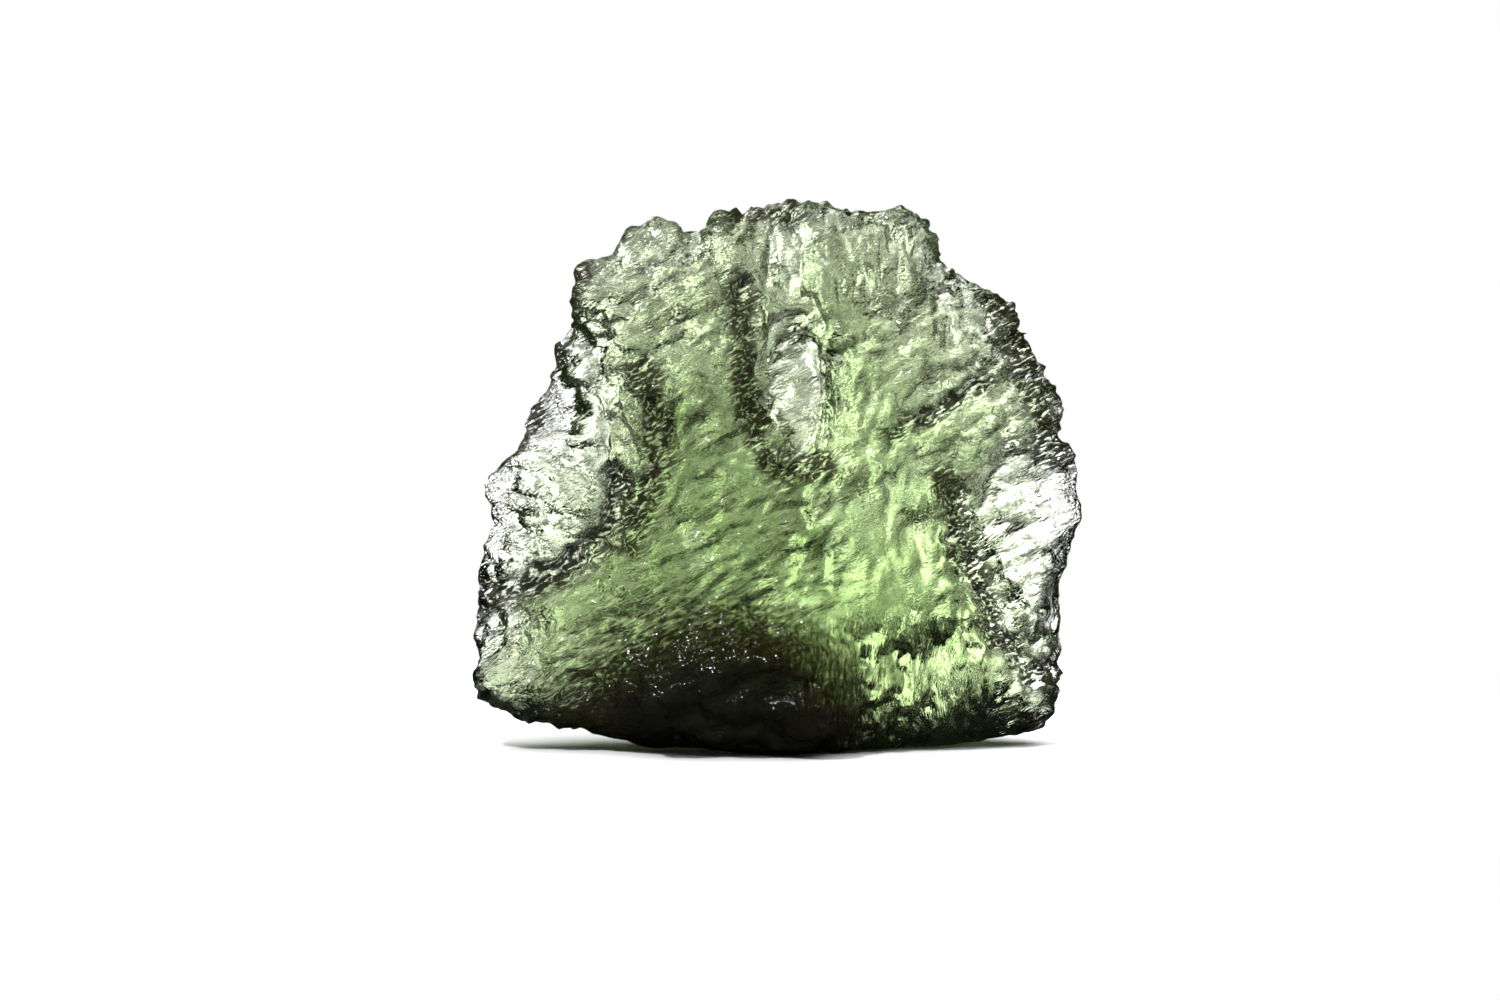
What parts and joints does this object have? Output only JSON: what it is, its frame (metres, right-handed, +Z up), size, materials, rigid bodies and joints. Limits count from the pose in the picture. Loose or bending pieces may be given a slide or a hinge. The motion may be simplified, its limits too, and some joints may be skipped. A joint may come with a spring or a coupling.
{
  "type": "moldavite",
  "caption": "Natural green impact glass, a flat fan-shaped stone with pits, hollows and flow ridges, standing on a small worn flat under its thick base.",
  "frame": {"origin": "middle of the stone's bounding box at the level of the flat it stands on", "axes": "+Z up as it stands, -Y the face with the tongue-shaped hollow, which the picture shows, +X to that view's right"},
  "size_m": [0.0262, 0.0108, 0.0233],
  "materials": {
    "green_glass": "etched natural surface, glossy to satin, see-through bottle green"
  },
  "bodies": {
    "root": {"moldavite": "green_glass"}
  },
  "joints": []
}
